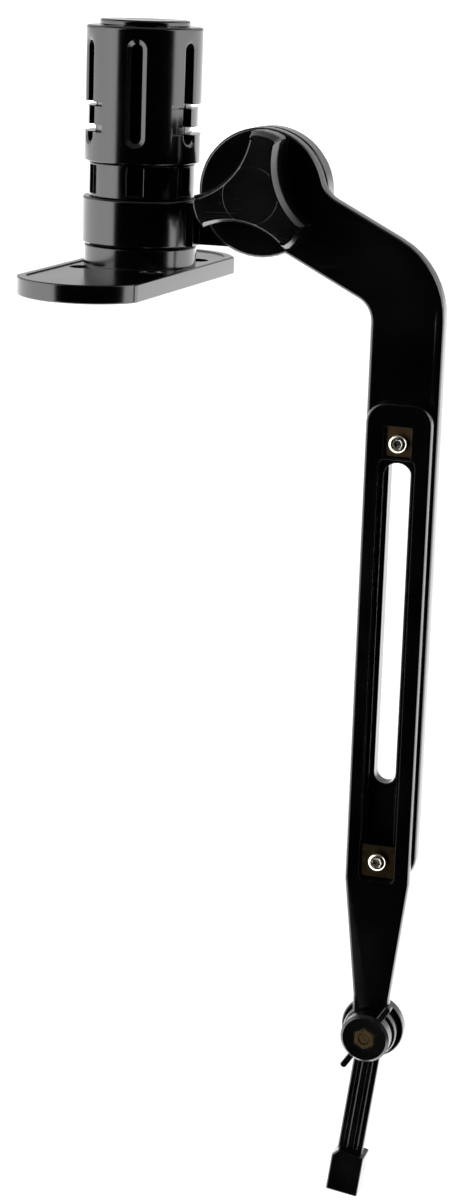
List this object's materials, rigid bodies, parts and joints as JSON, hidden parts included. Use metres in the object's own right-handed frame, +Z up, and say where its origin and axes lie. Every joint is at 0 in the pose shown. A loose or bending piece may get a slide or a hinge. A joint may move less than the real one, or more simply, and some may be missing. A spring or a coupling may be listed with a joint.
{
  "type": "transducer arm on rod holder post",
  "caption": "Adjustable arm that hangs a transducer from a slotted rod-holder post on a deck plate, with a clamped elbow, a telescoping leg and a tilting foot.",
  "frame": {"origin": "underside of the base plate, on the post's axis", "axes": "+Z up the post; the arm hinges in the XZ plane on the +X side and its face looks along -Y"},
  "size_m": [0.1737, 0.1495, 0.5339],
  "materials": {
    "black_nylon": "moulded satin black",
    "dark_nylon": "moulded matt black",
    "acetal": "smooth white",
    "stainless_steel": "turned bright",
    "brass": "machined",
    "rubber": "matt"
  },
  "bodies": {
    "base": {"base_plate": "black_nylon", "post_core": "black_nylon", "post_sleeve": "black_nylon", "post_cap": "black_nylon", "post_bolt": "stainless_steel", "post_washer": "stainless_steel", "post_insert": "brass"},
    "collar": {"arm_collar": "black_nylon", "collar_bush": "acetal", "pivot_bolt": "stainless_steel"},
    "upper_arm": {"upper_arm": "black_nylon", "friction_washer": "rubber", "lower_clamp_screw": "stainless_steel", "lower_clamp_plate": "dark_nylon", "lower_clamp_nut": "brass"},
    "knob": {"pivot_knob": "black_nylon", "knob_insert": "brass", "knob_washer": "stainless_steel"},
    "lower_arm": {"lower_arm": "black_nylon", "upper_clamp_screw": "stainless_steel", "upper_head_washer": "brass", "upper_clamp_plate": "dark_nylon", "upper_clamp_nut": "brass", "foot_washer": "stainless_steel"},
    "bracket": {"transducer_bracket": "black_nylon", "foot_bolt": "stainless_steel"},
    "wing": {"wing_knob": "black_nylon", "wing_nut": "brass"}
  },
  "joints": [
    {"name": "collar_swivel", "type": "hinge", "parent": "base", "child": "collar", "pos_m": [0, 0, 0], "axis": [0, 0, 1], "continuous": true},
    {"name": "arm_fold", "type": "hinge", "parent": "collar", "child": "upper_arm", "pos_m": [0.0575, 0, 0.0428], "axis": [0, -1, 0], "range_deg": [0, 120]},
    {"name": "knob_turn", "type": "hinge", "parent": "collar", "child": "knob", "pos_m": [0.0575, 0, 0.0428], "axis": [0, -1, 0], "continuous": true},
    {"name": "leg_slide", "type": "slide", "parent": "upper_arm", "child": "lower_arm", "axis": [0, 0, -1], "range_m": [0, 0.15]},
    {"name": "foot_tilt", "type": "hinge", "parent": "lower_arm", "child": "bracket", "pos_m": [0.1252, 0, -0.335], "axis": [0, -1, 0], "range_deg": [-83, 97]},
    {"name": "wing_turn", "type": "hinge", "parent": "lower_arm", "child": "wing", "pos_m": [0.1252, 0, -0.335], "axis": [0, -1, 0], "continuous": true}
  ]
}
